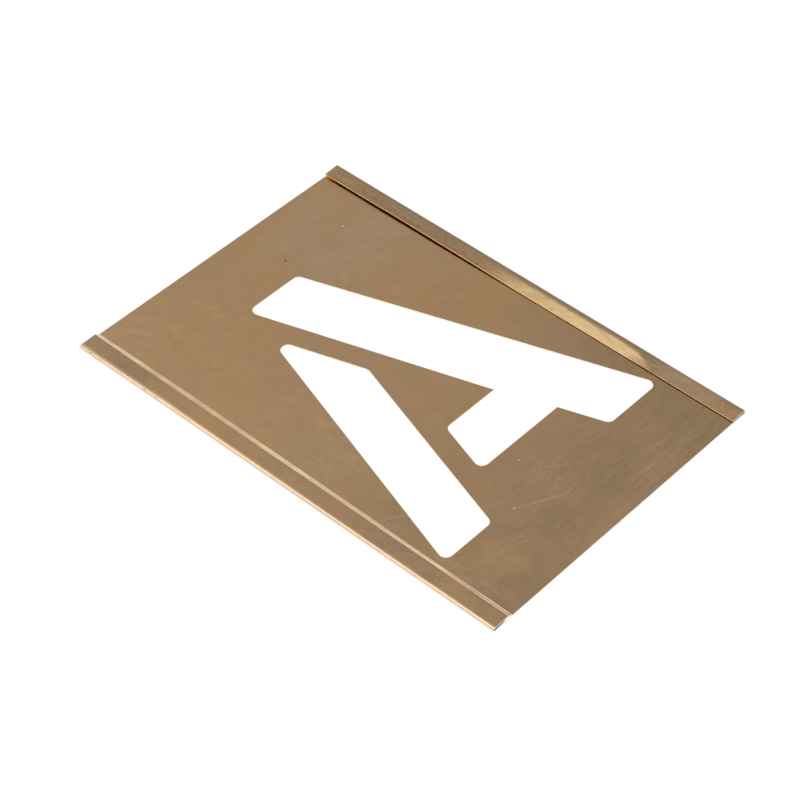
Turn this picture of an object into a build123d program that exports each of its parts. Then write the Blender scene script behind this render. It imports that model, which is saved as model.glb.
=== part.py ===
from build123d import *
import math
import os

# Lettering stencil: one plate of sheet brass with the cut-out capital letter A.
# One long edge is folded up and over as a hooked lip. The other is stepped up to a
# flange and hemmed under, so that plates interlock side by side and spell words.
# X runs across the plate, from the hemmed edge to the hooked edge, and Y runs up the letter.
# The origin is at the middle of the plate's length and overall width, on its flat underside.

# Sheet and seams, in millimetres
sheet_thickness = 0.3
slide_clearance = 0.1  # air on each side of a neighbour's sheet in a seam
seam_play = 0.2  # side play between a lip and the fold that it hooks into
flange_width = 5.8  # from the outside of the hem's fold to the step
hem_return = 4.4  # sheet folded back under the flange, measured from the outside of the fold
step_angle = 38.0  # degrees
step_bend_radius = 0.5  # at the middle of the sheet

# Letter, and the sheet left around it
letter_height = 101.6
letter_width = 87.8  # over both feet
foot_margin = 24.2
apex_margin = 23.7
left_margin = 1.45  # from the step to the left foot
right_margin = 1.8  # from the right foot to the hook's lip
right_stroke = 20.65  # widths of strokes and bridges are measured along X
left_stroke = 18.35
right_lean = 35.4  # how far a leg leans in over the letter's height
left_lean = 32.9
counter_stroke = 21.9  # the right leg above the crossbar, its inner line carried down to the feet
counter_lean = 33.5
crossbar_foot = 14.3  # from the feet to the crossbar
crossbar_stroke = 16.85
leg_bridge = 7.45  # sheet left between the right leg and the left leg
bar_bridge = 7.6  # sheet left between the crossbar and the left leg
letter_corner_radius = 2.1
bridge_corner_radius = 2.5
cut_overrun = 2.0

# Sizes that follow from the stack of four sheets in a closed seam
channel_gap = sheet_thickness + 2 * slide_clearance
fold_radius = (channel_gap + sheet_thickness) / 2
fold_outside = fold_radius + sheet_thickness / 2
flange_rise = 3 * (sheet_thickness + slide_clearance)
lip_width = flange_width - sheet_thickness - seam_play

# The step between the plate and the flange
step_slope = math.radians(step_angle)
step_bends_rise = 2 * step_bend_radius * (1 - math.cos(step_slope))
ramp_run = (flange_rise - step_bends_rise) / math.sin(step_slope)
step_width = 2 * step_bend_radius * math.sin(step_slope) + ramp_run * math.cos(step_slope)

# The plate is as large as the letter, its margins and the two seams make it
plate_length = foot_margin + letter_height + apex_margin
field_width = left_margin + letter_width + right_margin
plate_width = flange_width + step_width + field_width + lip_width
hem_side = -plate_width / 2
hook_side = plate_width / 2
step_foot = hem_side + flange_width + step_width

# Places of the letter's feet
base_y = foot_margin - plate_length / 2
left_foot = step_foot + left_margin
right_foot = left_foot + letter_width


def sheet_face(start, heading, bends, side):
    """Edges of one face of the bent sheet, half a thickness to one side of its middle."""
    edges = []
    normal = Vector(-math.sin(heading), math.cos(heading))
    point = start + normal * (side * sheet_thickness / 2)
    for run, turn, bend_radius in bends:
        tangent = Vector(math.cos(heading), math.sin(heading))
        straight = Line(point, point + tangent * run)
        edges.append(straight)
        point = straight @ 1
        if turn:
            face_radius = bend_radius - math.copysign(sheet_thickness / 2, side * turn)
            bend = JernArc(point, tangent, face_radius, turn)
            edges.append(bend)
            point = bend @ 1
            heading += math.radians(turn)
    return edges


def sheet_section():
    """Section of the plate, with its hem and its hook, in X and Z."""
    hem_middle = flange_rise + sheet_thickness / 2 - 2 * fold_radius
    start = Vector(hem_side + hem_return, hem_middle)
    plate_run = hook_side - fold_outside - step_foot
    bends = [
        (hem_return - fold_outside, -180, fold_radius),
        (flange_width - fold_outside, -step_angle, step_bend_radius),
        (ramp_run, step_angle, step_bend_radius),
        (plate_run, 180, fold_radius),
        (lip_width - fold_outside, 0, fold_radius),
    ]
    left = sheet_face(start, math.pi, bends, 1)
    right = sheet_face(start, math.pi, bends, -1)
    free_ends = [Line(left[0] @ 0, right[0] @ 0), Line(left[-1] @ 1, right[-1] @ 1)]
    return Plane.XZ * make_face(left + right + free_ends)


def right_leg_x(height, inset):
    """X on a line beside the right leg's outer edge, at a height above the feet."""
    return right_foot - inset - right_lean * height / letter_height


def left_leg_x(height, inset):
    """X on a line beside the left leg's outer edge, at a height above the feet."""
    return left_foot + inset + left_lean * height / letter_height


def counter_x(height, inset):
    """X on a line beside the right leg's inner edge above the crossbar."""
    return right_foot - counter_stroke - inset - counter_lean * height / letter_height


def opening(corners):
    """Cutter for an outline of (x, height above the feet, corner radius)."""
    points = [(x, base_y + height) for x, height, _ in corners]
    radii = [radius for _, _, radius in corners]
    outline = FilletPolyline(*points, radius=radii, close=True)
    cutter = extrude(make_face(outline), amount=flange_rise + cut_overrun)
    return Pos(0, 0, -cut_overrun) * cutter


def right_opening():
    """The right leg and the crossbar, cut as one opening."""
    bar_top = crossbar_foot + crossbar_stroke
    bar_end = left_stroke + bar_bridge
    corners = [
        (right_leg_x(0, 0), 0, letter_corner_radius),
        (right_leg_x(letter_height, 0), letter_height, letter_corner_radius),
        (counter_x(letter_height, 0), letter_height, letter_corner_radius),
        (counter_x(bar_top, 0), bar_top, 0),
        (left_leg_x(bar_top, bar_end), bar_top, letter_corner_radius),
        (left_leg_x(crossbar_foot, bar_end), crossbar_foot, letter_corner_radius),
        (right_leg_x(crossbar_foot, right_stroke), crossbar_foot, 0),
        (right_leg_x(0, right_stroke), 0, letter_corner_radius),
    ]
    return opening(corners)


def left_opening():
    """The left leg, cut to a point beside the right leg."""
    closing = (counter_lean + left_lean) / letter_height
    bridge_foot = counter_x(0, leg_bridge)
    tip_height = (bridge_foot - left_leg_x(0, 0)) / closing
    corner_height = (bridge_foot - left_leg_x(0, left_stroke)) / closing
    corners = [
        (left_leg_x(0, 0), 0, letter_corner_radius),
        (left_leg_x(0, left_stroke), 0, letter_corner_radius),
        (left_leg_x(corner_height, left_stroke), corner_height, bridge_corner_radius),
        (left_leg_x(tip_height, 0), tip_height, letter_corner_radius),
    ]
    return opening(corners)


def stencil_plate():
    sheet = extrude(sheet_section(), amount=plate_length / 2, both=True)
    return sheet - right_opening() - left_opening()


os.makedirs("parts", exist_ok=True)
export_step(stencil_plate(), "parts/stencil_plate.step")
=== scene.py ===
import math

import bpy
import numpy as np
from mathutils import Matrix, Vector
from mathutils.geometry import delaunay_2d_cdt


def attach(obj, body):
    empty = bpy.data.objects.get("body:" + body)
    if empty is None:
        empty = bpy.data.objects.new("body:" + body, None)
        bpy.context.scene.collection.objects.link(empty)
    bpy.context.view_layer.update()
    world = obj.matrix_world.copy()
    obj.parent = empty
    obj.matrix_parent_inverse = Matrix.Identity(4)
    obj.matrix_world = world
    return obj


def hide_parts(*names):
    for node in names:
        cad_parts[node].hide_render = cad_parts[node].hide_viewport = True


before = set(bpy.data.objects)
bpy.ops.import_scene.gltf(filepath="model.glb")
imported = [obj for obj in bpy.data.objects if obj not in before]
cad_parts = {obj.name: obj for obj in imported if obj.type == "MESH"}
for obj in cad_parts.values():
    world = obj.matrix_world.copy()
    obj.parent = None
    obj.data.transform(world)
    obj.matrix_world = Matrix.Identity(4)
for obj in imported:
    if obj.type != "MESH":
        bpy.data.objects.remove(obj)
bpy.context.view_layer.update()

# Lettering stencil: one folded sheet of worn brass with the cut-out capital letter A.
# Lengths below are millimetres in the frame of the solids and become metres in the mesh.
MM = 0.001

# Sheet and its two folded edges
SHEET = 0.3
HALF_LENGTH = 74.75
SIDE = 52.01
STEP_FOOT = -43.95
PLATE_END = 51.2
EDGE_ROUND = 0.05

# Letter
FEET_Y = -50.55
LETTER_HEIGHT = 101.6
LEFT_FOOT = -42.885
RIGHT_FOOT = 44.915
RIGHT_LEAN = 35.4
LEFT_LEAN = 32.9
RIGHT_STROKE = 20.65
LEFT_STROKE = 18.35
COUNTER_STROKE = 21.9
COUNTER_LEAN = 33.5
LEG_BRIDGE = 7.45
BAR_BRIDGE = 7.6
BAR_FOOT = 14.3
BAR_TOP = 31.15
LETTER_ROUND = 2.1
BRIDGE_ROUND = 2.5

# Spacing of the mesh along the plate and over it, on the lip and on the hem's return
ROW_STEP = 0.8
CELL = 1.6
LIP_STEP = 0.6
RETURN_STEP = 1.0

# Lines beside a cut edge: round it, just past its rounding, and further in
ROUND_ANGLES = (0, 30, 60, 90)
PAST_ROUND = 0.04
FURTHER_IN = [0.3, 0.9]
rounding = [EDGE_ROUND * (1 - math.cos(math.radians(angle))) for angle in ROUND_ANGLES]
INSETS = rounding + [EDGE_ROUND + PAST_ROUND] + FURTHER_IN

# Parts of a rounded corner of an opening
ARC_TURN = math.radians(14)
LEAST_ARC_PARTS = 4

# Parts of the hem, from the plate outwards, and of the hook
FOOT_PARTS = 8
RAMP_PARTS = 4
TOP_PARTS = 7
FLANGE_PARTS = 7
EASE_PARTS = 4
HEM_PARTS = 16
HOOK_PARTS = 18
ROOT_PARTS = 4
CREASE_PARTS = 5

# Triangles over the plate: spacing of their rows, start and clear margins, as shares of a cell
BETWEEN_ROWS_SHARE = 0.87
START_SHARE = 0.6
BORDER_CLEAR_SHARE = 0.55
OPENING_CLEAR_SHARE = 0.5
SAME_PLACE = 1e-5
SAME_PLACE_DIGITS = 5

# Distance given to points that are far from any cut edge
FAR_EDGE = 9.0

# How steep the sheet is where each mask of wear starts and where it is full
FOLD_STEEPNESS = (0.12, 0.40)
RAMP_STEEPNESS = (0.22, 0.44)
UNDER_STEEPNESS = (0.0, 0.45)

# Distance from a cut edge where its mask is still full, and where it ends
CUT_REACH = (0.03, 0.10)


def smoothstep(edge0, edge1, value):
    s = np.clip((value - edge0) / (edge1 - edge0), 0, 1)
    return s * s * (3 - 2 * s)


def stations(start, end, step, cut_start=True):
    """Places from start to a cut edge at the end, close together by a cut edge."""
    low = [start + d for d in INSETS] if cut_start else [start]
    high = [end - d for d in reversed(INSETS)]
    count = max(1, round((high[0] - low[-1]) / step))
    middle = np.linspace(low[-1], high[0], count + 1)[1:-1]
    return np.array(low + list(middle) + high)


rows = stations(-HALF_LENGTH, HALF_LENGTH, ROW_STEP)


def walk(point, heading, pieces):
    """Follows bends of (length, turn, stations along it), each per row; gives x, z and heading."""
    x = np.full(len(rows), float(point[0]))
    z = np.full(len(rows), float(point[1]))
    h = np.full(len(rows), float(heading))
    xs, zs, hs = [x], [z], [h]
    for length, turn, parts in pieces:
        length = np.broadcast_to(np.asarray(length, float), x.shape)
        turn = np.broadcast_to(np.asarray(turn, float), x.shape)
        for part in parts:
            s = part * length
            bow = turn * part / 2
            chord = s * np.sinc(bow / math.pi)
            xs.append(x + chord * np.cos(h + bow))
            zs.append(z + chord * np.sin(h + bow))
            hs.append(h + turn * part)
        x, z, h = xs[-1], zs[-1], hs[-1]
    return np.array(xs), np.array(zs), np.array(hs)


# Weights of a row and its neighbours
SMOOTHING = np.array([1, 2, 3, 2, 1]) / 9


def even(count):
    """A number of equal parts."""
    return np.arange(1, count + 1) / count


def to_edge(length, step):
    """Parts of a straight run that ends in a cut edge."""
    places = stations(0, length, step, cut_start=False)
    return places[1:] / length


def along(pairs):
    """A smoothed line through (place along Y, value), read at every row."""
    places, values = zip(*pairs)
    line = np.interp(rows, places, values)
    padded = np.pad(line, len(SMOOTHING) // 2, mode="edge")
    return np.convolve(padded, SMOOTHING, mode="valid")


# Hem, from the plate outwards: step up, flange, fold and return under the flange
FLANGE_RISE = 0.95
# Flat sheet before the step
step_start = along(
    [
        (-75, 0.55),
        (-40, 0.55),
        (-26, 0.40),
        (-2, 0.25),
        (14, 0.15),
        (30, 0.06),
        (38, 0.04),
        (54, 0.15),
        (70, 0.45),
    ]
)
step_slope = np.radians(
    along(
        [
            (-75, 29),
            (-60, 29.3),
            (-50, 30.6),
            (-42, 30.6),
            (-34, 29),
            (-18, 28),
            (-6, 27),
            (6, 26),
            (22, 26.3),
            (30, 25),
            (46, 25.5),
            (54, 26),
            (62, 27.5),
            (70, 31),
        ]
    )
)
# Radii of the step's two bends, at the middle of the sheet
foot_bend = along([(-75, 0.5), (-10, 0.5), (6, 0.8), (22, 1.0), (54, 1.0), (62, 0.6), (75, 0.5)])
TOP_BEND = 0.5
flange_droop = np.radians(along([(-75, 0), (60, 0), (72, 1), (75, 1)]))
ramp_run = (FLANGE_RISE - (foot_bend + TOP_BEND) * (1 - np.cos(step_slope))) / np.sin(step_slope)
FOLD_EASE = math.radians(12)
ease_run = along([(-75, 0.4), (-20, 0.4), (0, 0.55), (30, 0.6), (40, 0.85), (50, 0.75), (75, 0.8)])
HEM_FOLD = 0.38
HEM_CLOSE = math.radians(4)
HEM_RETURN = 4.0


def hem_walk(flange_run):
    """Points of the hem for a width of flange, one for each row."""
    hem_turn = math.pi - FOLD_EASE + HEM_CLOSE
    pieces = [
        (step_start, 0, even(1)),
        (foot_bend * step_slope, -step_slope, even(FOOT_PARTS)),
        (ramp_run, 0, even(RAMP_PARTS)),
        (TOP_BEND * (step_slope + flange_droop), step_slope + flange_droop, even(TOP_PARTS)),
        (flange_run, 0, even(FLANGE_PARTS)),
        (ease_run, FOLD_EASE, even(EASE_PARTS)),
        (HEM_FOLD * hem_turn, hem_turn, even(HEM_PARTS)),
        (HEM_RETURN, 0, to_edge(HEM_RETURN, RETURN_STEP)),
    ]
    return walk((STEP_FOOT, SHEET / 2), math.pi, pieces)


# Walked with a first flange, the hem shows how much more of it brings the fold out to the side
FIRST_FLANGE = 5.0
reached = hem_walk(FIRST_FLANGE)[0].min(axis=0) - SHEET / 2
hem_x, hem_z, hem_h = hem_walk(FIRST_FLANGE + reached + SIDE)

# Hook, from the plate outwards: fold up and over, then the lip, which wear has pressed down
hook_fold = along([(-75, 0.46), (-47, 0.46), (-39, 0.54), (45, 0.54), (62, 0.58), (75, 0.60)])
# Height of the lip's free edge above the plate's underside
lip_edge = along(
    [
        (-75, 0.895),
        (-47, 0.895),
        (-44, 0.86),
        (-42, 0.80),
        (-39, 0.73),
        (-10, 0.74),
        (0, 0.77),
        (10, 0.95),
        (20, 1.10),
        (30, 1.16),
        (47, 1.28),
        (60, 1.19),
        (75, 1.16),
    ]
)
lip_width = along([(-75, 4.9), (-50, 4.9), (-43, 4.8), (75, 4.8)])
# The lip slopes little at its root and more beyond a soft crease
LIP_CREASE = 0.9
lip_root = along([(-75, 3.2), (-46, 3.2), (-43.5, 2.5), (-40, 1.0), (-34, 0.7), (75, 0.7)])
lip_outer = lip_width - LIP_CREASE - lip_root
root_slope = np.radians(along([(-75, 4.2), (-47, 4.2), (-38, 3.2), (75, 3.2)]))
root_drop = 2 * hook_fold + SHEET - lip_root * np.sin(root_slope) - lip_edge
lip_slope = np.arcsin(root_drop / (lip_outer + LIP_CREASE / 2))
hook_pieces = [
    (SIDE - SHEET / 2 - hook_fold - PLATE_END, 0, even(1)),
    (hook_fold * (math.pi + root_slope), math.pi + root_slope, even(HOOK_PARTS)),
    (lip_root, 0, even(ROOT_PARTS)),
    (LIP_CREASE, lip_slope - root_slope, even(CREASE_PARTS)),
    (lip_outer, 0, to_edge(float(lip_outer.mean()), LIP_STEP)),
]
hook_x, hook_z, hook_h = walk((PLATE_END, SHEET / 2), 0, hook_pieces)


def outline(corners, inset):
    """Loop round an opening, set back into the sheet; corners are (x, height above feet, radius)."""
    points = np.array([(x, FEET_Y + h) for x, h, _ in corners])
    count = len(points)
    area = 0.0
    for i in range(count):
        a, b = points[i], points[(i + 1) % count]
        area += a[0] * b[1] - a[1] * b[0]
    if area < 0:
        raise ValueError("corners have to run anticlockwise")
    loop = []
    ends = []
    for i in range(count):
        before, here, after = points[i - 1], points[i], points[(i + 1) % count]
        u = (here - before) / np.linalg.norm(here - before)
        v = (after - here) / np.linalg.norm(after - here)
        turn = u[0] * v[1] - u[1] * v[0]
        angle = math.atan2(turn, u @ v)
        radius = corners[i][2]
        left_u = np.array([-u[1], u[0]])
        left_v = np.array([-v[1], v[0]])
        if radius and turn > 0:
            reach = radius * math.tan(angle / 2)
            centre = here - u * reach + left_u * radius
            start = math.atan2(-left_u[1], -left_u[0])
            parts = max(LEAST_ARC_PARTS, math.ceil(angle / ARC_TURN))
            arc = [
                centre
                + (radius + inset)
                * np.array([math.cos(start + angle * k / parts), math.sin(start + angle * k / parts)])
                for k in range(parts + 1)
            ]
        else:
            bisector = -(left_u + left_v)
            bisector /= bisector @ -left_u
            arc = [here + bisector * inset]
        ends.append(arc)
    for i in range(count):
        arc = ends[i]
        following = ends[(i + 1) % count]
        loop += arc
        run = np.linalg.norm(points[(i + 1) % count] - points[i])
        parts = max(1, round(run / ROW_STEP))
        for k in range(1, parts):
            loop.append(arc[-1] + (following[0] - arc[-1]) * k / parts)
    return np.array(loop)


def right_leg_x(height, inset):
    return RIGHT_FOOT - inset - RIGHT_LEAN * height / LETTER_HEIGHT


def left_leg_x(height, inset):
    return LEFT_FOOT + inset + LEFT_LEAN * height / LETTER_HEIGHT


def counter_x(height, inset):
    return RIGHT_FOOT - COUNTER_STROKE - inset - COUNTER_LEAN * height / LETTER_HEIGHT


bar_end = LEFT_STROKE + BAR_BRIDGE
right_opening = [
    (right_leg_x(0, RIGHT_STROKE), 0, LETTER_ROUND),
    (right_leg_x(0, 0), 0, LETTER_ROUND),
    (right_leg_x(LETTER_HEIGHT, 0), LETTER_HEIGHT, LETTER_ROUND),
    (counter_x(LETTER_HEIGHT, 0), LETTER_HEIGHT, LETTER_ROUND),
    (counter_x(BAR_TOP, 0), BAR_TOP, 0),
    (left_leg_x(BAR_TOP, bar_end), BAR_TOP, LETTER_ROUND),
    (left_leg_x(BAR_FOOT, bar_end), BAR_FOOT, LETTER_ROUND),
    (right_leg_x(BAR_FOOT, RIGHT_STROKE), BAR_FOOT, 0),
]
closing = (COUNTER_LEAN + LEFT_LEAN) / LETTER_HEIGHT
tip_height = (counter_x(0, LEG_BRIDGE) - left_leg_x(0, 0)) / closing
corner_height = (counter_x(0, LEG_BRIDGE) - left_leg_x(0, LEFT_STROKE)) / closing
left_opening = [
    (left_leg_x(0, 0), 0, LETTER_ROUND),
    (left_leg_x(0, LEFT_STROKE), 0, LETTER_ROUND),
    (left_leg_x(corner_height, LEFT_STROKE), corner_height, BRIDGE_ROUND),
    (left_leg_x(tip_height, 0), tip_height, LETTER_ROUND),
]


class Sheet:
    """Middle surface of the sheet as points, with faces that share them."""

    def __init__(self):
        self.index = {}
        self.place = []
        self.normal = []
        self.edge = []
        self.part = []
        self.faces = []

    def point(self, s, y, place, normal, edge, part):
        key = (round(s, SAME_PLACE_DIGITS), round(y, SAME_PLACE_DIGITS))
        if key not in self.index:
            self.index[key] = len(self.place)
            self.place.append(place)
            self.normal.append(normal)
            self.edge.append(edge)
            self.part.append(part)
        return self.index[key]


sheet = Sheet()
PLATE = 0
HEM = 1
HOOK = 2


def edge_of_rows(y):
    return HALF_LENGTH - abs(y)


def plate_point(x, y, edge=FAR_EDGE):
    edges = (min(edge, edge_of_rows(y)), FAR_EDGE)
    return sheet.point(x, y, (x, y, SHEET / 2), (0, 0, 1), edges, PLATE)


def folded_part(xs, zs, hs, flip, part):
    """Adds a folded part that starts at the plate; flip is for one walked towards -X."""
    steps = np.hypot(np.diff(xs, axis=0), np.diff(zs, axis=0)).mean(axis=1)
    run = np.concatenate([[0], np.cumsum(steps)])
    grid = []
    for i in range(len(xs)):
        line = []
        for j, y in enumerate(rows):
            s = (STEP_FOOT - run[i]) if flip else (PLATE_END + run[i])
            h = hs[i, j]
            normal = (-math.sin(h), 0, math.cos(h))
            if flip:
                normal = (math.sin(h), 0, -math.cos(h))
            edge = (edge_of_rows(y), run[-1] - run[i])
            line.append(sheet.point(s, y, (xs[i, j], y, zs[i, j]), normal, edge, part))
        grid.append(line)
    for i in range(len(xs) - 1):
        for j in range(len(rows) - 1):
            a, b, c, d = grid[i][j], grid[i + 1][j], grid[i + 1][j + 1], grid[i][j + 1]
            sheet.faces.append((a, d, c, b) if flip else (a, b, c, d))


columns = np.linspace(STEP_FOOT, PLATE_END, round((PLATE_END - STEP_FOOT) / CELL) + 1)
BAND = len(INSETS)


def plate_bands():
    """Rows of faces along the plate's two short edges."""
    for lines in (rows[:BAND], rows[-BAND:]):
        grid = [[plate_point(x, y) for y in lines] for x in columns]
        for i in range(len(columns) - 1):
            for j in range(len(lines) - 1):
                sheet.faces.append((grid[i][j], grid[i + 1][j], grid[i + 1][j + 1], grid[i][j + 1]))


def opening_bands(corners):
    """Rows of faces round an opening; gives its outermost loop."""
    loops = [outline(corners, inset) for inset in INSETS]
    grid = [[plate_point(x, y, inset) for x, y in loop] for loop, inset in zip(loops, INSETS)]
    count = len(grid[0])
    for i in range(len(grid) - 1):
        for j in range(count):
            k = (j + 1) % count
            sheet.faces.append((grid[i][j], grid[i + 1][j], grid[i + 1][k], grid[i][k]))
    return loops[-1]


def inside(points, loop):
    x, y = points[:, 0], points[:, 1]
    result = np.zeros(len(points), bool)
    for (ax, ay), (bx, by) in zip(loop, np.roll(loop, -1, axis=0)):
        crosses = (ay > y) != (by > y)
        if ay != by:
            result ^= crosses & (x < ax + (y - ay) * (bx - ax) / (by - ay))
    return result


def distance(points, loop):
    nearest = np.full(len(points), np.inf)
    for a, b in zip(loop, np.roll(loop, -1, axis=0)):
        ab = b - a
        t = np.clip((points - a) @ ab / (ab @ ab), 0, 1)
        nearest = np.minimum(nearest, np.linalg.norm(points - (a + t[:, None] * ab), axis=1))
    return nearest


def plate_middle(loops):
    """Triangles between the bands, the openings and the folded parts."""
    inner_rows = rows[BAND - 1 : len(rows) - BAND + 1]
    low, high = inner_rows[0], inner_rows[-1]
    border = (
        [(x, low) for x in columns[:-1]]
        + [(PLATE_END, y) for y in inner_rows[:-1]]
        + [(x, high) for x in columns[:0:-1]]
        + [(STEP_FOOT, y) for y in inner_rows[:0:-1]]
    )
    all_loops = [np.array(border)] + loops
    points, edges = [], []
    for loop in all_loops:
        first = len(points)
        points += [tuple(p) for p in loop]
        edges += [(first + k, first + (k + 1) % len(loop)) for k in range(len(loop))]
    grid = []
    line = 0
    y = low + CELL * BETWEEN_ROWS_SHARE
    while y < high:
        shift = CELL / 2 if line % 2 else 0
        x = STEP_FOOT + CELL * START_SHARE + shift
        while x < PLATE_END:
            grid.append((x, y))
            x += CELL
        y += CELL * BETWEEN_ROWS_SHARE
        line += 1
    grid = np.array(grid)
    keep = distance(grid, all_loops[0]) > CELL * BORDER_CLEAR_SHARE
    for loop in loops:
        keep &= ~inside(grid, loop) & (distance(grid, loop) > CELL * OPENING_CLEAR_SHARE)
    points += [tuple(p) for p in grid[keep]]
    result = delaunay_2d_cdt([Vector(p) for p in points], edges, [], 0, SAME_PLACE, True)
    placed, _, triangles, originals, _, _ = result
    centres = np.array([np.mean([placed[i] for i in t], axis=0) for t in triangles])
    keep = inside(centres, all_loops[0])
    for loop in loops:
        keep &= ~inside(centres, loop)
    for t, kept in zip(triangles, keep):
        if kept:
            corners = [points[originals[i][0]] for i in t]
            sheet.faces.append(tuple(plate_point(x, y) for x, y in corners))


folded_part(hem_x, hem_z, hem_h, True, HEM)
folded_part(hook_x, hook_z, hook_h, False, HOOK)
plate_bands()
plate_middle([opening_bands(right_opening), opening_bands(left_opening)])


def round_height(edge_a, edge_b):
    """Half thickness at a distance from one or two cut edges."""
    a = np.clip(EDGE_ROUND - edge_a, 0, None)
    b = np.clip(EDGE_ROUND - edge_b, 0, None)
    return SHEET / 2 - EDGE_ROUND + np.sqrt(np.clip(EDGE_ROUND**2 - a**2 - b**2, 0, None))


def build_mesh():
    place = np.array(sheet.place)
    normal = np.array(sheet.normal, float)
    edge = np.array(sheet.edge)
    half = round_height(edge[:, 0], edge[:, 1])[:, None]
    top = place + normal * half
    bottom = place - normal * half
    count = len(place)
    vertices = np.concatenate([top, bottom]) * MM
    faces = list(sheet.faces)
    used = {}
    for face in sheet.faces:
        for a, b in zip(face, face[1:] + face[:1]):
            used[(a, b)] = used.get((a, b), 0) + 1
    walls = [(b, a, a + count, b + count) for a, b in used if (b, a) not in used]
    faces += [tuple(i + count for i in reversed(f)) for f in sheet.faces]
    faces += walls
    mesh = bpy.data.meshes.new("folded_sheet")
    mesh.from_pydata([tuple(v) for v in vertices], [], faces)
    mesh.validate()
    mesh.update()
    mesh.polygons.foreach_set("use_smooth", [True] * len(mesh.polygons))
    # Masks of wear, of the lip and of the channel, which gets painted shade and bounce light; first for the
    # side that is up on the plate and then for the other
    part = np.array(sheet.part)
    across = normal[:, 0]
    fold = np.where(part == HEM, smoothstep(*FOLD_STEEPNESS, -across), 0)
    ramp_face = np.where(part == HEM, smoothstep(*RAMP_STEEPNESS, across), 0)
    under = np.where(part == HEM, smoothstep(*UNDER_STEEPNESS, -normal[:, 2]), 0)
    lip = np.where(part == HOOK, 1.0, 0.0)
    masks = {
        "cut": np.tile(1 - smoothstep(*CUT_REACH, edge.min(axis=1)), 2),
        "under": np.concatenate([under, 0 * under]),
        "fold": np.concatenate([fold, 0 * fold]),
        "ramp": np.concatenate([ramp_face, 0 * ramp_face]),
        "lip": np.concatenate([0 * lip, lip]),
        "channel": np.concatenate([lip, 0 * lip]),
    }
    for name, values in masks.items():
        attribute = mesh.attributes.new(name, "FLOAT", "POINT")
        attribute.data.foreach_set("value", values.astype(np.float32))
    piece = bpy.data.objects.new("brass_plate", mesh)
    bpy.context.scene.collection.objects.link(piece)
    return piece


plate = build_mesh()
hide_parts("stencil_plate")
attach(plate, "root")


# Sockets of a colour mix, by number, because a mix of numbers has sockets of the same names
MIX_FIRST = 6
MIX_SECOND = 7
MIX_RESULT = 2

# Core of a scratch, as a share of its width
MARK_CORE_SHARE = 0.3


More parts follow.
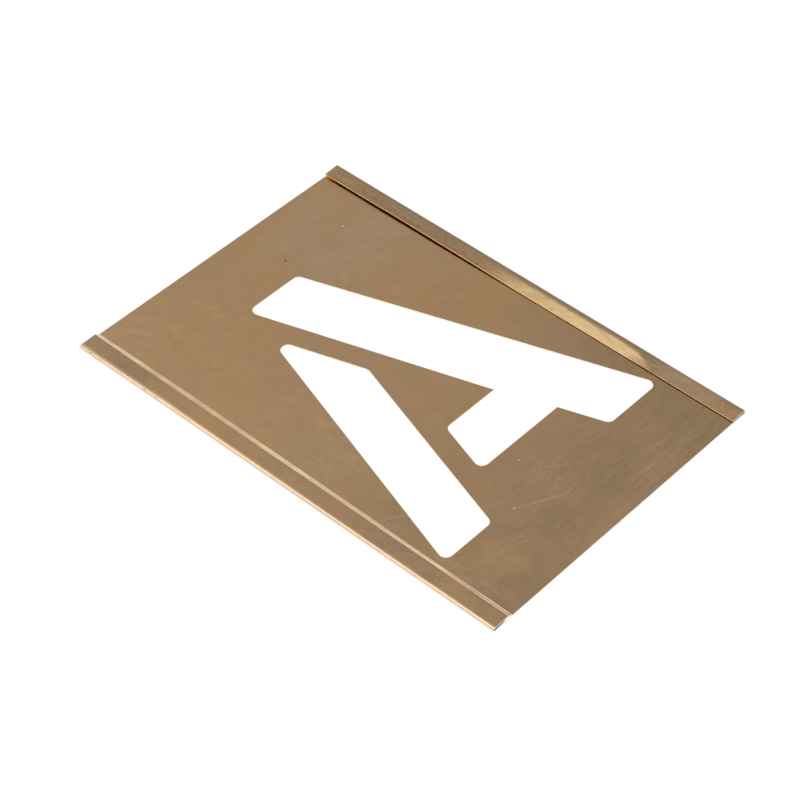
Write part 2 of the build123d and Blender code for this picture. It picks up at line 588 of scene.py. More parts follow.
class Graph:
    """Short names for the nodes of one material."""

    def __init__(self, material):
        material.use_nodes = True
        self.tree = material.node_tree
        self.shader = self.tree.nodes["Principled BSDF"]

    def feed(self, socket, value):
        if hasattr(value, "is_output"):
            self.tree.links.new(value, socket)
        else:
            socket.default_value = value

    def math(self, operation, *values, clamp=False):
        node = self.tree.nodes.new("ShaderNodeMath")
        node.operation = operation
        node.use_clamp = clamp
        for socket, value in zip(node.inputs, values):
            self.feed(socket, value)
        return node.outputs[0]

    def blend(self, first, second, shares):
        """Sum of two values, each times its share."""
        first = self.math("MULTIPLY", first, shares[0])
        second = self.math("MULTIPLY", second, shares[1])
        return self.math("ADD", first, second)

    def vector(self, operation, *values, out=0):
        node = self.tree.nodes.new("ShaderNodeVectorMath")
        node.operation = operation
        for socket, value in zip(node.inputs, values):
            self.feed(socket, value)
        return node.outputs[out]

    def turn(self, place, angle):
        """The same places, turned about the vertical."""
        node = self.tree.nodes.new("ShaderNodeVectorRotate")
        node.rotation_type = "Z_AXIS"
        self.feed(node.inputs["Vector"], place)
        node.inputs["Angle"].default_value = angle
        return node.outputs[0]

    def attribute(self, name):
        node = self.tree.nodes.new("ShaderNodeAttribute")
        node.attribute_name = name
        return node.outputs["Fac"]

    def noise(self, place, scale, detail=3.0, roughness=0.5, distortion=0.0):
        node = self.tree.nodes.new("ShaderNodeTexNoise")
        self.feed(node.inputs["Vector"], place)
        node.inputs["Scale"].default_value = scale
        node.inputs["Detail"].default_value = detail
        node.inputs["Roughness"].default_value = roughness
        node.inputs["Distortion"].default_value = distortion
        return node.outputs[0]

    def stretched_noise(self, place, per_axis, detail, roughness=0.5, distortion=0.0):
        """Noise with its own scale along each axis."""
        return self.noise(self.vector("MULTIPLY", place, per_axis), 1.0, detail, roughness, distortion)

    def spots(self, place, scale):
        """Distance to scattered points."""
        node = self.tree.nodes.new("ShaderNodeTexVoronoi")
        self.feed(node.inputs["Vector"], place)
        node.inputs["Scale"].default_value = scale
        return node.outputs["Distance"]

    def band(self, value, low, high, to_low=0.0, to_high=1.0):
        """Goes smoothly from to_low to to_high while the value goes from low to high."""
        node = self.tree.nodes.new("ShaderNodeMapRange")
        node.interpolation_type = "SMOOTHSTEP"
        self.feed(node.inputs["Value"], value)
        node.inputs["From Min"].default_value = low
        node.inputs["From Max"].default_value = high
        node.inputs["To Min"].default_value = to_low
        node.inputs["To Max"].default_value = to_high
        return node.outputs[0]

    def mix(self, factor, first, second, blend="MIX"):
        node = self.tree.nodes.new("ShaderNodeMix")
        node.data_type = "RGBA"
        node.blend_type = blend
        self.feed(node.inputs["Factor"], factor)
        self.feed(node.inputs[MIX_FIRST], first)
        self.feed(node.inputs[MIX_SECOND], second)
        return node.outputs[MIX_RESULT]

    def bump(self, height, strength, distance, below=None):
        node = self.tree.nodes.new("ShaderNodeBump")
        node.inputs["Strength"].default_value = strength
        node.inputs["Distance"].default_value = distance
        self.feed(node.inputs["Height"], height)
        if below is not None:
            self.feed(node.inputs["Normal"], below)
        return node.outputs[0]

    def away_from(self, place, centre):
        """Distance from a centre on the plate."""
        return self.vector("DISTANCE", place, (*centre, 0.0), out=1)

    def ragged_distance(self, place, centre, radius, rim):
        """Distance from a centre as a share of a radius, with a ragged rim."""
        return self.math("ADD", self.math("DIVIDE", self.away_from(place, centre), radius), rim)

    def mark(self, place, start, end, width):
        """A scratch: 1 on the line from start to end, 0 beyond its width."""
        ax, ay = start
        bx, by = end
        to_place = self.vector("SUBTRACT", place, (ax, ay, 0))
        length = (bx - ax) ** 2 + (by - ay) ** 2
        share = self.vector("DOT_PRODUCT", to_place, ((bx - ax) / length, (by - ay) / length, 0), out=1)
        share = self.math("ADD", share, 0.0, clamp=True)
        across = self.vector("SCALE", (bx - ax, by - ay, 0))
        self.feed(across.node.inputs["Scale"], share)
        away = self.vector("LENGTH", self.vector("SUBTRACT", to_place, across), out=1)
        return self.band(away, width, width * MARK_CORE_SHARE)


def colour(red, green, blue):
    return (red, green, blue, 1.0)


# Tones of the tarnish
PALE = colour(0.500, 0.318, 0.172)
DARK = colour(0.385, 0.255, 0.145)
ORANGE = colour(0.522, 0.318, 0.142)
OLIVE = colour(0.500, 0.322, 0.140)
ROSY = colour(0.505, 0.312, 0.182)
GREY = colour(0.514, 0.339, 0.197)
MOTTLE_LIGHT = colour(0.8, 0.8, 0.8)
MOTTLE_DARK = colour(0.2, 0.2, 0.2)

# Tones of rubbing, scratches, specks and pits
LIGHT_STREAK = colour(0.56, 0.41, 0.26)
DARK_STREAK = colour(0.27, 0.20, 0.13)
HAIRLINE = colour(0.68, 0.54, 0.36)
SCRATCH = colour(0.80, 0.66, 0.46)
BRIGHT_SPECK = colour(0.80, 0.68, 0.50)
DARK_SPECK = colour(0.06, 0.04, 0.03)
SMALL_SPECK = colour(0.74, 0.62, 0.45)
PIT = colour(0.20, 0.14, 0.09)
NICK = colour(0.15, 0.10, 0.065)

# Tones of the lip, one of them a painted gold highlight, and of the channel under it, which are painted
# shade and warm bounce light over its tarnish
LIP_DARK = colour(0.355, 0.230, 0.132)
LIP_LIGHT = colour(0.495, 0.338, 0.194)
LIP_GOLD_HIGHLIGHT = colour(0.495, 0.350, 0.180)
LIP_NEAR = colour(0.52, 0.37, 0.245)
LIP_BY_FOLD = colour(0.275, 0.205, 0.150)
LIP_BY_EDGE = colour(0.33, 0.21, 0.115)
CHANNEL_NEAR = colour(0.42, 0.27, 0.13)
CHANNEL_MIDDLE = colour(0.62, 0.38, 0.16)
CHANNEL_FAR = colour(0.88, 0.44, 0.09)
CHANNEL_END = colour(0.66, 0.43, 0.22)

# Tones of bare metal on folds and cut edges, and of the hem's underside; the hem's cut ends get painted
# shade, and the lip's cut edge a painted highlight at its near end
FOLD_ROSY = colour(0.76, 0.55, 0.395)
FOLD_YELLOW = colour(0.79, 0.64, 0.455)
RAMP_ROSY = colour(0.86, 0.62, 0.43)
RAMP_YELLOW = colour(0.84, 0.66, 0.44)
CUT = colour(0.95, 0.84, 0.64)
LIP_CUT = colour(0.63, 0.47, 0.32)
LIP_CUT_NEAR_HIGHLIGHT = colour(0.93, 0.74, 0.53)
LIP_CUT_IN_HIGHLIGHT = colour(0.60, 0.43, 0.25)
PAINTED_HEM_SHADE = colour(0.10, 0.07, 0.045)
HEM_UNDERSIDE = colour(0.55, 0.40, 0.27)

# Where the tarnish and its painted shade deepen or clear: from the first place to the second, along X or Y;
# the darkening towards the feet, the hook side and the near corner is painted shade
PAINTED_SHADE_Y = (-5.0, -66.0)
HOOK_SIDE_X = (24.0, 48.0)
HOOK_SIDE_Y = (15.0, -22.0)
NEAR_CORNER_X = (-20.0, -45.0)
NEAR_CORNER_Y = (-55.0, -73.0)
FLANGE_X = (-45.9, -46.8)
FAR_FLANGE_Y = (34.0, 66.0)
NEAR_FLANGE_Y = (-50.0, -60.0)

# Where the plate is rubbed
RUBBED_X = (-34.0, -8.0)
RUBBED_Y = (-34.0, -52.0)

# Where the lip gets a painted gold highlight; its near boundary runs aslant, so it is a place along Y less X
GOLD_HIGHLIGHT_NEAR = (-95.5, -81.5)
GOLD_HIGHLIGHT_FAR_Y = (16.0, -2.0)
GOLD_HIGHLIGHT_X = (51.1, 50.3)

# Bands along the lip: paler near its near end, darker by its fold and its free edge
LIP_PALER_Y = (-44.0, -54.0)
LIP_PALER_END_Y = (-72.0, -62.0)
FOLD_BAND_X = (50.2, 51.6)
FOLD_BAND_NARROWS_Y = (-42.0, -52.0)
EDGE_BAND_X = (48.3, 47.4)
EDGE_BAND_Y = (-2.0, 16.0)

# Channel under the lip, and where its painted shade and bounce light change
CHANNEL_X = (45.8, 46.6)
CHANNEL_FLOOR_Z = (0.6, 0.4)
CHANNEL_NEAR_Y = (-46.0, -8.0)
CHANNEL_FAR_Y = (2.0, 16.0)
CHANNEL_END_Y = (67.0, 73.0)

# Upper face of the plate, cut ends of the lip, with a painted highlight at its near end, and of the hem,
# with painted shade, and the step
UPPER_FACE_Z = (0.12, 0.20)
LIP_CUT_X = (45.0, 46.5)
LIP_CUT_NEAR_Y = (-44.0, -50.0)
HEM_CUT_X = (-47.0, -48.0)
HEM_CUT_Z = (0.85, 0.60)
STEP_MIDDLE_X = -45.55
STEP_MIDDLE_REACH = (0.36, 0.10)
STEP_NEAR_END_Y = (-58.0, -63.0)

# Values that noises mostly lie between
NOISE_RANGE = (0.3, 0.7)
WIDE_NOISE_RANGE = (0.2, 0.8)

# Shifts that set noises apart
CLOUDS_SHIFT = (40.0, 13.0, 7.0)
TINT_SHIFT = (-25.0, 61.0, 3.0)
PITS_SHIFT = (3.0, 8.0, 5.0)

# Scales of stretched noises along X, Y and Z
RUBBED_SCALES = (0.07, 0.7, 0.7)
ALONG_LIP_SCALES = (2.2, 0.08, 2.2)
OVER_LIP_SCALES = (0.8, 1.8, 0.8)
STEP_SCALES = (0.0, 0.16, 0.0)
RAGGED_SCALES = (1.0, 0.6, 1.0)

# Rim and core of a patch, as shares of its radius
SHADE_SHARES = (1.2, 0.3)
PATCH_SHARES = (1.3, 0.3)
NICK_SHARES = (1.2, 0.4)
SPECK_CORE_SHARE = 0.4
STEP_WEAR_CORE_SHARE = 0.4

# How strongly gloom darkens stains, and how strongly mottling, small specks and pits show
STAIN_GLOOM = 0.7
MOTTLE_STRENGTH = 0.018
SMALL_MOTTLE_STRENGTH = 0.035
SMALL_SPECK_STRENGTH = 0.30
PIT_STRENGTH = 0.4

# Darker and lighter patches: centre, radius and how much darker
SHADES = [
    ((-39.0, -7.0), 17.0, 0.32),
    ((-40.0, -32.0), 15.0, 0.32),
    ((30.6, 19.6), 13.0, -0.42),
    ((-32.9, -60.6), 9.0, -0.55),
    ((-11.9, -63.0), 9.0, 0.38),
    ((-39.4, -70.5), 8.0, 0.50),
    ((8.0, -58.0), 13.0, 0.28),
    ((19.0, -58.0), 8.0, 0.14),
    ((7.6, -64.9), 6.0, 0.26),
    ((42.9, -66.4), 7.0, 0.22),
    ((3.1, -73.0), 6.0, -0.35),
    ((10.9, -36.1), 7.0, -0.15),
]

# Tinted patches: tone, centre, radius and strength
PATCHES = [
    (ORANGE, (-17.0, 46.0), 9.0, 0.9),
    (ORANGE, (4.0, 54.0), 7.0, 0.7),
    (ORANGE, (22.0, 22.0), 10.0, 0.6),
    (ORANGE, (44.0, 69.0), 7.0, 0.6),
    (ORANGE, (36.5, 5.0), 9.0, 0.9),
    (OLIVE, (-28.0, 57.0), 9.0, 0.7),
    (OLIVE, (-33.0, 33.0), 9.0, 0.6),
    (OLIVE, (9.5, 69.0), 8.0, 0.5),
    (ROSY, (-31.0, 67.0), 7.0, 0.6),
    (ROSY, (-23.0, 51.0), 5.0, 0.5),
    (ROSY, (-30.0, 19.0), 9.0, 0.5),
    (ROSY, (42.0, -18.0), 8.0, 0.7),
    (ROSY, (-2.0, -6.0), 7.0, 0.6),
    (ROSY, (22.0, -73.0), 8.0, 0.6),
    (ROSY, (13.7, -70.0), 6.0, 0.6),
    (GREY, (28.0, 50.0), 21.0, 0.9),
    (GREY, (-36.0, -4.0), 14.0, 0.8),
]

# Streaks: tone and how strongly it shows; the dark ones lie where the light ones don't
STREAKS = [(LIGHT_STREAK, 0.11), (DARK_STREAK, -0.16)]

# Sets of fine lines: degrees that they are turned from X, and scale of their noise across them
HAIRLINE_SETS = [(2.0, 1.4), (-9.0, 1.1), (14.0, 1.25)]
# Scale of that noise along the lines
HAIRLINE_ALONG = 0.05

# Streaks and fine lines where the plate isn't rubbed
UNRUBBED_STREAKS = 0.06
UNRUBBED_HAIRLINES = 0.12

# Shares of two noises: brushed along and over the lip, and rubbed and mottled in the grain
BRUSHED_SHARES = (0.42, 0.58)
GRAIN_SHARES = (0.8, 0.2)

# Roughness of the metal, and how much rubbing adds
ROUGHNESS = (0.21, 0.23)
RUBBED_ROUGHER = 0.03

# Single scratches: start, end, width and strength
SCRATCHES = [
    ((-16.7, -51.8), (-4.6, -58.0), 0.14, 0.40),
    ((-33.8, -57.9), (-25.6, -59.9), 0.20, 0.20),
    ((-25.6, -59.9), (-22.5, -61.8), 0.16, 0.16),
    ((-41.1, -30.2), (-38.0, -32.6), 0.16, 0.45),
    ((-3.0, -46.0), (9.0, -55.0), 0.10, 0.25),
    ((14.0, -60.0), (31.0, -66.0), 0.10, 0.25),
    ((18.8, -54.9), (22.3, -54.9), 0.11, 0.32),
    ((10.2, -55.8), (13.5, -55.7), 0.11, 0.30),
    ((18.6, -59.5), (25.5, -59.8), 0.10, 0.22),
    ((16.6, -67.6), (27.7, -69.8), 0.10, 0.22),
    ((10.0, -70.1), (17.7, -69.2), 0.10, 0.18),
    ((-3.0, -47.8), (6.4, -49.2), 0.10, 0.16),
    ((26.4, -64.1), (28.2, -65.1), 0.12, 0.30),
    ((8.1, -49.2), (14.8, -49.2), 0.10, 0.12),
    ((-40.7, -62.5), (-35.3, -63.9), 0.16, 0.10),
]

# Single specks, and nicks in the fold: centre and radius
BRIGHT_SPECKS = [
    ((33.9, 56.0), 0.45),
    ((-45.8, 0.0), 0.35),
    ((-36.2, -4.7), 0.25),
    ((-16.9, -51.7), 0.40),
    ((-2.8, -41.4), 0.30),
    ((-49.6, -53.5), 0.26),
    ((-49.6, -55.4), 0.22),
    ((-48.1, -52.9), 0.20),
]
DARK_SPECKS = [((11.9, 57.8), 0.48), ((-42.9, 17.3), 0.32), ((46.42, -17.3), 0.34), ((46.42, -13.8), 0.30)]
NICKS = [((-51.7, 70.4), 0.22), ((-51.1, 56.7), 0.30), ((-51.8, 49.5), 0.20), ((-51.7, 45.2), 0.22)]
SPECK_STRENGTH = 0.8
NICK_RAGGEDNESS = 0.3

# Stretches of the step that are barer or duller, partly wear and partly painted light that evens out its
# shading where its slope changes: middle, half length and how much
STEP_WEAR_AND_LIGHT = [(-44.0, 14.0, 0.30), (36.0, 30.0, -0.34), (72.0, 10.0, 0.24), (-70.0, 11.0, 0.22)]


class Surface:
    """Places on the plate, in millimetres, and the noises that its layers share."""

    def __init__(self, g):
        coordinates = g.tree.nodes.new("ShaderNodeTexCoord").outputs["Object"]
        self.place = g.vector("SCALE", coordinates)
        self.place.node.inputs["Scale"].default_value = 1 / MM
        split = g.tree.nodes.new("ShaderNodeSeparateXYZ")
        g.feed(split.inputs[0], self.place)
        self.x = split.outputs["X"]
        self.y = split.outputs["Y"]
        self.z = split.outputs["Z"]
        self.flat_place = g.vector("MULTIPLY", self.place, (1.0, 1.0, 0.0))
        clouds_place = g.vector("ADD", self.place, CLOUDS_SHIFT)
        tint_place = g.vector("ADD", self.place, TINT_SHIFT)
        self.broad = g.noise(self.place, scale=0.035, detail=3, roughness=0.55, distortion=0.6)
        self.clouds = g.noise(clouds_place, scale=0.08, detail=4, roughness=0.6, distortion=0.8)
        self.tint = g.noise(tint_place, scale=0.07, detail=4, roughness=0.6, distortion=1.0)
        self.small = g.noise(self.place, scale=0.42, detail=2, roughness=0.6, distortion=0.2)
        self.mottle = g.noise(self.place, scale=1.1, detail=1, roughness=0.6)
        self.across = g.stretched_noise(self.place, RUBBED_SCALES, detail=1.5, roughness=0.6, distortion=0.5)


def gloom_of(g, s):
    """How dark the plate is, from 0 to 1: tarnish, with painted shade that deepens it towards the feet of
    the letter.
    """
    # Painted shade: the plate darkens towards the feet, the hook side and the near corner
    towards_feet = g.band(s.y, *PAINTED_SHADE_Y, to_high=0.62)
    towards_hook = g.math("MULTIPLY", g.band(s.x, *HOOK_SIDE_X), g.band(s.y, *HOOK_SIDE_Y, to_high=0.50))
    near_corner = g.math("MULTIPLY", g.band(s.x, *NEAR_CORNER_X), g.band(s.y, *NEAR_CORNER_Y, to_high=0.55))
    far_flange = g.band(s.y, *FAR_FLANGE_Y, to_low=0.34, to_high=1.30)
    near_flange = g.band(s.y, *NEAR_FLANGE_Y, to_high=-0.85)
    on_flange = g.math("MULTIPLY", g.band(s.x, *FLANGE_X), g.math("ADD", far_flange, near_flange))
    gloom = g.math("ADD", g.math("ADD", towards_feet, towards_hook), near_corner)
    gloom = g.math("ADD", gloom, on_flange)
    gloom = g.math("ADD", gloom, g.band(s.clouds, *NOISE_RANGE, to_low=-0.15, to_high=0.15))
    gloom = g.math("ADD", gloom, g.band(s.small, *NOISE_RANGE, to_low=-0.05, to_high=0.05))
    rim = g.band(s.tint, *WIDE_NOISE_RANGE, to_low=-0.35, to_high=0.35)
    for centre, radius, amount in SHADES:
        away = g.ragged_distance(s.flat_place, centre, radius, rim)
        gloom = g.math("ADD", gloom, g.band(away, *SHADE_SHARES, to_high=amount))
    return g.math("ADD", gloom, 0.0, clamp=True)


def tarnish_and_shade_of(g, s):
    """Tone of the tarnish with its painted shade: pale to dark, with stains, tinted patches and a faint
    mottle.
    """
    gloom = gloom_of(g, s)
    stain_gloom = g.math("MULTIPLY", gloom, STAIN_GLOOM)

    def stain(tarnish_and_painted_light, tone, share):
        return g.mix(share, tarnish_and_painted_light, g.mix(stain_gloom, tone, DARK))

    tarnish_and_painted_light = g.mix(gloom, PALE, DARK)
    tarnish_and_painted_light = stain(tarnish_and_painted_light, ORANGE, g.band(s.tint, low=0.52, high=0.70, to_high=0.28))
    tarnish_and_painted_light = stain(tarnish_and_painted_light, ROSY, g.band(s.tint, low=0.48, high=0.34, to_high=0.35))
    tarnish_and_painted_light = stain(tarnish_and_painted_light, OLIVE, g.band(s.broad, low=0.50, high=0.66, to_high=0.40))
    rim = g.band(s.tint, *WIDE_NOISE_RANGE, to_low=-0.8, to_high=0.8)
    for tone, centre, radius, strength in PATCHES:
        away = g.ragged_distance(s.flat_place, centre, radius, rim)
        tarnish_and_painted_light = stain(tarnish_and_painted_light, tone, g.band(away, *PATCH_SHARES, to_high=strength))
    for noise, share in ((s.mottle, MOTTLE_STRENGTH), (s.small, SMALL_MOTTLE_STRENGTH)):
        level = g.mix(g.band(noise, *NOISE_RANGE), MOTTLE_DARK, MOTTLE_LIGHT)
        tarnish_and_painted_light = g.mix(share, tarnish_and_painted_light, level, "OVERLAY")
    return tarnish_and_painted_light


def rubbing_of(g, s):
    """How much the plate is rubbed, strongest between the feet and the near edge."""
    rubbed = g.math("MULTIPLY", g.band(s.y, *RUBBED_Y), g.band(s.x, *RUBBED_X))
    return g.math("MULTIPLY", rubbed, g.band(s.clouds, low=0.36, high=0.60, to_low=0.35))


def rub(g, s, tarnish_and_painted_light, rubbed):
    """Lays streaks and fine lines over the tarnish and its painted shade, with a few where nothing is
    rubbed.
    """
    streaks = g.band(s.across, low=0.34, high=0.68, to_low=-1.0)
    streaks = g.math("MULTIPLY", g.math("ADD", rubbed, UNRUBBED_STREAKS), streaks)
    for tone, share in STREAKS:
        tarnish_and_painted_light = g.mix(g.math("MULTIPLY", streaks, share, clamp=True), tarnish_and_painted_light, tone)
    hairlines = g.band(g.noise(s.place, scale=0.12, detail=2), low=0.42, high=0.58, to_high=0.14)
    hairlines = g.math("MULTIPLY", hairlines, g.math("ADD", rubbed, UNRUBBED_HAIRLINES, clamp=True))
    for angle, scale in HAIRLINE_SETS:
        turned = g.turn(s.place, math.radians(angle))
        line = g.stretched_noise(turned, (HAIRLINE_ALONG, scale, 0.0), detail=0)
        line = g.band(line, low=0.62, high=0.78)
        tarnish_and_painted_light = g.mix(g.math("MULTIPLY", line, hairlines), tarnish_and_painted_light, HAIRLINE)
    return tarnish_and_painted_light


def gold_highlight_of(g, s):
    """How far the lip gets a painted gold highlight, in the middle of its length."""
    aslant = g.math("SUBTRACT", s.y, s.x)
    highlight_share = g.math("MULTIPLY", g.band(aslant, *GOLD_HIGHLIGHT_NEAR), g.band(s.y, *GOLD_HIGHLIGHT_FAR_Y))
    return g.math("MULTIPLY", highlight_share, g.band(s.x, *GOLD_HIGHLIGHT_X, to_high=0.85))


def lip_tone_of(g, s, highlight_share):
    """Tone of the lip, which is brushed, with a painted gold highlight in its middle."""
    along_lip = g.stretched_noise(s.place, ALONG_LIP_SCALES, detail=1, roughness=0.6)
    over_lip = g.stretched_noise(s.place, OVER_LIP_SCALES, detail=1.5, roughness=0.6)
    brushed = g.blend(along_lip, over_lip, BRUSHED_SHARES)
    tone = g.mix(g.band(brushed, low=0.34, high=0.66), LIP_DARK, LIP_LIGHT)
    tone = g.mix(g.band(s.tint, low=0.45, high=0.60, to_high=0.35), tone, ORANGE)
    # Painted gold highlight on the pressed middle of the lip
    tone = g.mix(highlight_share, tone, LIP_GOLD_HIGHLIGHT)
    paler = g.math("MULTIPLY", g.band(s.y, *LIP_PALER_Y, to_high=0.45), g.band(s.y, *LIP_PALER_END_Y))
    tone = g.mix(paler, tone, LIP_NEAR)
    from_fold = g.math("ADD", s.x, g.band(brushed, *NOISE_RANGE, to_low=-0.3, to_high=0.3))
    from_fold = g.math("SUBTRACT", from_fold, g.band(s.y, *FOLD_BAND_NARROWS_Y, to_high=0.45))
    tone = g.mix(g.band(from_fold, *FOLD_BAND_X, to_high=0.62), tone, LIP_BY_FOLD)
    by_edge = g.math("MULTIPLY", g.band(s.x, *EDGE_BAND_X, to_high=0.35), g.band(s.y, *EDGE_BAND_Y))
    return g.mix(by_edge, tone, LIP_BY_EDGE)


def channel_of(g, s, lip):
    """Where the sheet is inside the channel under the lip."""
    under_lip = g.math("MULTIPLY", g.band(s.z, *UPPER_FACE_Z), g.band(s.z, *CHANNEL_FLOOR_Z))
    under_lip = g.math("MULTIPLY", under_lip, g.band(s.x, *CHANNEL_X))
    under_lip = g.math("MULTIPLY", under_lip, g.math("SUBTRACT", 1.0, lip))
    return g.math("MAXIMUM", g.attribute("channel"), under_lip)


def channel_shade_and_bounce_of(g, s):
    """Painted shade and warm bounce light inside the channel, over its tarnish; it grows warmer towards its
    far end.
    """
    tone = g.mix(g.band(s.y, *CHANNEL_NEAR_Y), CHANNEL_NEAR, CHANNEL_MIDDLE)
    tone = g.mix(g.band(s.y, *CHANNEL_FAR_Y), tone, CHANNEL_FAR)
    return g.mix(g.band(s.y, *CHANNEL_END_Y, to_high=0.8), tone, CHANNEL_END)


def scratch(g, s, tarnish_and_painted_light):
    """Lays the single scratches and specks over the upper face."""
    upper_face = g.band(s.z, *UPPER_FACE_Z)
    for start, end, width, strength in SCRATCHES:
        line = g.math("MULTIPLY", g.mark(s.flat_place, start, end, width), upper_face)
        tarnish_and_painted_light = g.mix(g.math("MULTIPLY", line, strength), tarnish_and_painted_light, SCRATCH)
    for points, tone in ((BRIGHT_SPECKS, BRIGHT_SPECK), (DARK_SPECKS, DARK_SPECK)):
        for centre, radius in points:
            spot = g.band(g.away_from(s.flat_place, centre), radius, radius * SPECK_CORE_SHARE)
            spot = g.math("MULTIPLY", spot, upper_face)
            tarnish_and_painted_light = g.mix(g.math("MULTIPLY", spot, SPECK_STRENGTH), tarnish_and_painted_light, tone)
    return tarnish_and_painted_light


def pits_of(g, s):
    """Small scattered pits."""
    spots = g.spots(g.vector("ADD", s.place, PITS_SHIFT), scale=0.11)
    return g.band(spots, low=0.030, high=0.012)


def speckle(g, s, tarnish_and_painted_light, pits):
    """Lays small scattered specks and pits over the tarnish and its painted light and shade."""
    specks = g.band(g.spots(s.place, scale=0.16), low=0.050, high=0.025)
    here = g.band(g.noise(s.place, scale=0.08, detail=2), low=0.50, high=0.62)
    specks = g.math("MULTIPLY", specks, here)
    tarnish_and_painted_light = g.mix(g.math("MULTIPLY", specks, SMALL_SPECK_STRENGTH), tarnish_and_painted_light, SMALL_SPECK)
    return g.mix(g.math("MULTIPLY", pits, PIT_STRENGTH), tarnish_and_painted_light, PIT)


def step_wear_and_light_of(g, s):
    """How bare the step is along its length, with painted light that evens out its shading; at its near end
    only its two bends are.
    """
    lengthways = g.stretched_noise(s.place, STEP_SCALES, detail=3)
    wear = g.band(lengthways, *NOISE_RANGE, to_low=0.50, to_high=0.78)
    # Painted light: these stretches brighten or dull the step where its slope shades it differently
    for middle, half, amount in STEP_WEAR_AND_LIGHT:
        away = g.math("ABSOLUTE", g.math("SUBTRACT", s.y, middle))
        wear = g.math("ADD", wear, g.band(away, half, half * STEP_WEAR_CORE_SHARE, to_high=amount))
    from_middle = g.math("ABSOLUTE", g.math("SUBTRACT", s.x, STEP_MIDDLE_X))
    in_middle = g.band(from_middle, *STEP_MIDDLE_REACH)
    in_middle = g.math("MULTIPLY", in_middle, g.band(s.y, *STEP_NEAR_END_Y, to_high=0.60))
    return g.math("SUBTRACT", wear, in_middle, clamp=True)


def cut_tone_of(g, s, highlight_share):
    """Tone of the cut edges: bright, browner on the lip but for a painted highlight at its near end, and
    painted shade inside the hem.
    """
    # Painted highlight: the lip's cut edge is painted brighter at its near end
    lip_cut = g.mix(g.band(s.y, *LIP_CUT_NEAR_Y), LIP_CUT, LIP_CUT_NEAR_HIGHLIGHT)
    lip_cut = g.mix(highlight_share, lip_cut, LIP_CUT_IN_HIGHLIGHT)
    tone = g.mix(g.band(s.x, *LIP_CUT_X), CUT, lip_cut)
    # Painted shade: the hem's cut ends inside the fold are painted dark
    hem_shade_share = g.math("MULTIPLY", g.band(s.z, *HEM_CUT_Z), g.band(s.x, *HEM_CUT_X))
    return g.mix(hem_shade_share, tone, PAINTED_HEM_SHADE)


def wear_bare(g, s, tarnish_and_painted_light, highlight_share):
    """Shows bare metal on the step, the fold and the cut edges, where handling reaches, with painted light
    on the step and a painted highlight and painted shade on the cut edges.
    """
    ragged = g.noise(g.vector("MULTIPLY", s.place, RAGGED_SCALES), scale=0.9, detail=4, roughness=0.6)
    ragged = g.band(ragged, *NOISE_RANGE, to_low=-0.25, to_high=0.25)
    blush = g.band(g.noise(s.place, scale=0.5, detail=3), low=0.35, high=0.65)
    ramp = g.band(g.math("ADD", g.attribute("ramp"), ragged), low=0.20, high=0.90)
    ramp = g.math("MULTIPLY", ramp, step_wear_and_light_of(g, s))
    surface = g.mix(ramp, tarnish_and_painted_light, g.mix(blush, RAMP_ROSY, RAMP_YELLOW))
    fold = g.band(g.math("ADD", g.attribute("fold"), ragged), low=0.30, high=0.70)
    surface = g.mix(fold, surface, g.mix(blush, FOLD_ROSY, FOLD_YELLOW))
    surface = g.mix(g.attribute("under"), surface, HEM_UNDERSIDE)
    surface = g.mix(g.attribute("cut"), surface, cut_tone_of(g, s, highlight_share))
    for centre, radius in NICKS:
        away = g.away_from(s.flat_place, centre)
        away = g.math("ADD", away, g.math("MULTIPLY", ragged, NICK_RAGGEDNESS))
        rim, core = [radius * share for share in NICK_SHARES]
        surface = g.mix(g.band(away, rim, core, to_high=0.75), surface, NICK)
    return surface


def relief_of(g, s, pits):
    """Slight waves of the sheet, the grain of its rubbing and its pits."""
    grain = g.blend(s.across, s.mottle, GRAIN_SHARES)
    relief = g.bump(s.broad, strength=0.10, distance=0.004)
    relief = g.bump(grain, strength=0.07, distance=0.00002, below=relief)
    return g.bump(g.math("MULTIPLY", pits, -1.0), strength=0.5, distance=0.00008, below=relief)


def brass():
    """Worn brass with painted light and shade: tarnish, rubbing, lip, channel, single marks and bare metal,
    one over another.
    """
    material = bpy.data.materials.new("worn_brass_with_painted_light")
    g = Graph(material)
    s = Surface(g)
    lip = g.attribute("lip")
    rubbed = rubbing_of(g, s)
    highlight_share = gold_highlight_of(g, s)
    pits = pits_of(g, s)
    tarnish_and_painted_light = rub(g, s, tarnish_and_shade_of(g, s), rubbed)
    tarnish_and_painted_light = g.mix(lip, tarnish_and_painted_light, lip_tone_of(g, s, highlight_share))
    # Painted shade and warm bounce light inside the channel under the lip
    tarnish_and_painted_light = g.mix(channel_of(g, s, lip), tarnish_and_painted_light, channel_shade_and_bounce_of(g, s))
    tarnish_and_painted_light = scratch(g, s, tarnish_and_painted_light)
    tarnish_and_painted_light = speckle(g, s, tarnish_and_painted_light, pits)
    g.feed(g.shader.inputs["Base Color"], wear_bare(g, s, tarnish_and_painted_light, highlight_share))
    g.shader.inputs["Metallic"].default_value = 1.0
    satin = g.band(s.mottle, *NOISE_RANGE, *ROUGHNESS)
    satin = g.math("ADD", satin, g.math("MULTIPLY", rubbed, RUBBED_ROUGHER))
    g.feed(g.shader.inputs["Roughness"], satin)
    g.feed(g.shader.inputs["Normal"], relief_of(g, s, pits))
    return material


plate.data.materials.append(brass())

# White floor: it takes the plate's shadow and is nearly as bright as the walls in the metal
FLOOR_LEVEL = 0.85
GLOW_SHARE = 0.85
FLOOR_REACH = 6.0
FLOOR_Z = -0.00001


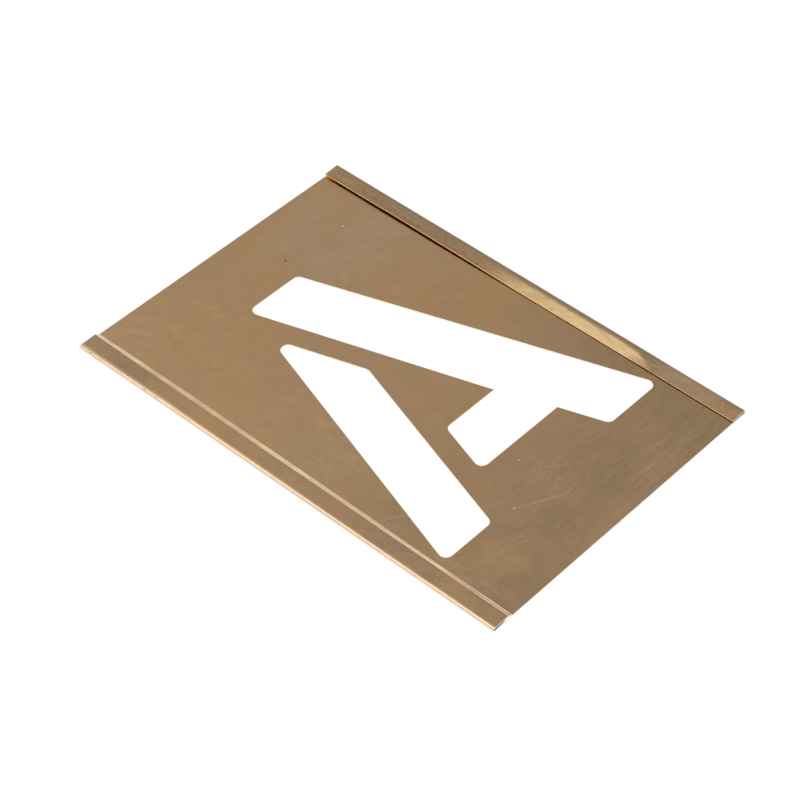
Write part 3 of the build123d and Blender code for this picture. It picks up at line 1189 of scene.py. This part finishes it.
def floor_material():
    material = bpy.data.materials.new("floor_white")
    material.use_nodes = True
    tree = material.node_tree
    nodes, links = tree.nodes, tree.links
    nodes.clear()
    out = nodes.new("ShaderNodeOutputMaterial")
    mix = nodes.new("ShaderNodeMixShader")
    paint = nodes.new("ShaderNodeBsdfDiffuse")
    paint.inputs["Color"].default_value = (FLOOR_LEVEL, FLOOR_LEVEL, FLOOR_LEVEL, 1)
    glow = nodes.new("ShaderNodeEmission")
    glow.inputs["Color"].default_value = (1, 1, 1, 1)
    path = nodes.new("ShaderNodeLightPath")
    seen = nodes.new("ShaderNodeMath")
    seen.operation = "MAXIMUM"
    through = nodes.new("ShaderNodeMath")
    through.operation = "MAXIMUM"
    share = nodes.new("ShaderNodeMath")
    share.operation = "MULTIPLY"
    share.inputs[1].default_value = GLOW_SHARE
    links.new(path.outputs["Is Camera Ray"], seen.inputs[0])
    links.new(path.outputs["Is Glossy Ray"], seen.inputs[1])
    links.new(seen.outputs[0], through.inputs[0])
    links.new(path.outputs["Is Transmission Ray"], through.inputs[1])
    links.new(through.outputs[0], share.inputs[0])
    links.new(share.outputs[0], mix.inputs[0])
    links.new(paint.outputs[0], mix.inputs[1])
    links.new(glow.outputs[0], mix.inputs[2])
    links.new(mix.outputs[0], out.inputs["Surface"])
    return material


def build_floor():
    near, far = -FLOOR_REACH, FLOOR_REACH
    corners = [(near, near, FLOOR_Z), (far, near, FLOOR_Z), (far, far, FLOOR_Z), (near, far, FLOOR_Z)]
    mesh = bpy.data.meshes.new("floor")
    mesh.from_pydata(corners, [], [(0, 1, 2, 3)])
    mesh.materials.append(floor_material())
    piece = bpy.data.objects.new("floor", mesh)
    bpy.context.scene.collection.objects.link(piece)
    return piece


floor = build_floor()

# Room light: white walls, calmer higher up, and a broad soft lamp overhead
WALL_STRENGTH = 1.05
# Place up the walls, from below to above, and the light's level there
WALL_LEVELS = ((0.0, 1.0), (0.25, 1.0), (0.45, 0.72), (0.64, 0.63), (0.78, 0.48), (1.0, 0.48))
# Lamp, in metres and watts
SOFTBOX_WIDTH = 1.7
SOFTBOX_LENGTH = 2.4
SOFTBOX_POWER = 17.0
SOFTBOX_PLACE = (-0.25, 0.0, 1.25)


def light_walls():
    world = bpy.data.worlds.new("studio")
    bpy.context.scene.world = world
    world.use_nodes = True
    tree = world.node_tree
    background = tree.nodes["Background"]
    where = tree.nodes.new("ShaderNodeTexCoord")
    split = tree.nodes.new("ShaderNodeSeparateXYZ")
    wall = tree.nodes.new("ShaderNodeValToRGB")
    tree.links.new(where.outputs["Generated"], split.inputs[0])
    tree.links.new(split.outputs["Z"], wall.inputs[0])
    tree.links.new(wall.outputs["Color"], background.inputs["Color"])
    elements = wall.color_ramp.elements
    while len(elements) < len(WALL_LEVELS):
        elements.new(0.5)
    for element, (height, level) in zip(elements, WALL_LEVELS):
        element.position = height
        element.color = (level, level, level, 1)
    background.inputs["Strength"].default_value = WALL_STRENGTH


def hang_softbox():
    lamp = bpy.data.lights.new("softbox", "AREA")
    lamp.shape = "RECTANGLE"
    lamp.size = SOFTBOX_WIDTH
    lamp.size_y = SOFTBOX_LENGTH
    lamp.energy = SOFTBOX_POWER
    softbox = bpy.data.objects.new("softbox", lamp)
    softbox.location = SOFTBOX_PLACE
    softbox.visible_camera = False
    bpy.context.scene.collection.objects.link(softbox)


light_walls()
hang_softbox()

# Camera, where the photograph was taken from: its place in millimetres, and its directions
SENSOR_WIDTH = 36.0
LENS = 121.1298
CAMERA_PLACE = Vector((-391.346, -341.390, 514.441))
CAMERA_RIGHT = Vector((0.669304, -0.742902, 0.011340))
CAMERA_DOWN = Vector((-0.521386, -0.480497, -0.705180))
CAMERA_FORWARD = Vector((0.529329, 0.466067, -0.708937))
# Nearest and farthest that it sees, in metres
CLIP = (0.01, 20.0)


def place_camera():
    data = bpy.data.cameras.new("camera")
    data.sensor_width = SENSOR_WIDTH
    data.lens = LENS
    data.clip_start, data.clip_end = CLIP
    camera = bpy.data.objects.new("camera", data)
    turned = Matrix((CAMERA_RIGHT, -CAMERA_DOWN, -CAMERA_FORWARD)).transposed().to_4x4()
    camera.matrix_world = Matrix.Translation(CAMERA_PLACE * MM) @ turned
    bpy.context.scene.collection.objects.link(camera)
    bpy.context.scene.camera = camera


place_camera()
bpy.context.scene.view_settings.view_transform = "Standard"
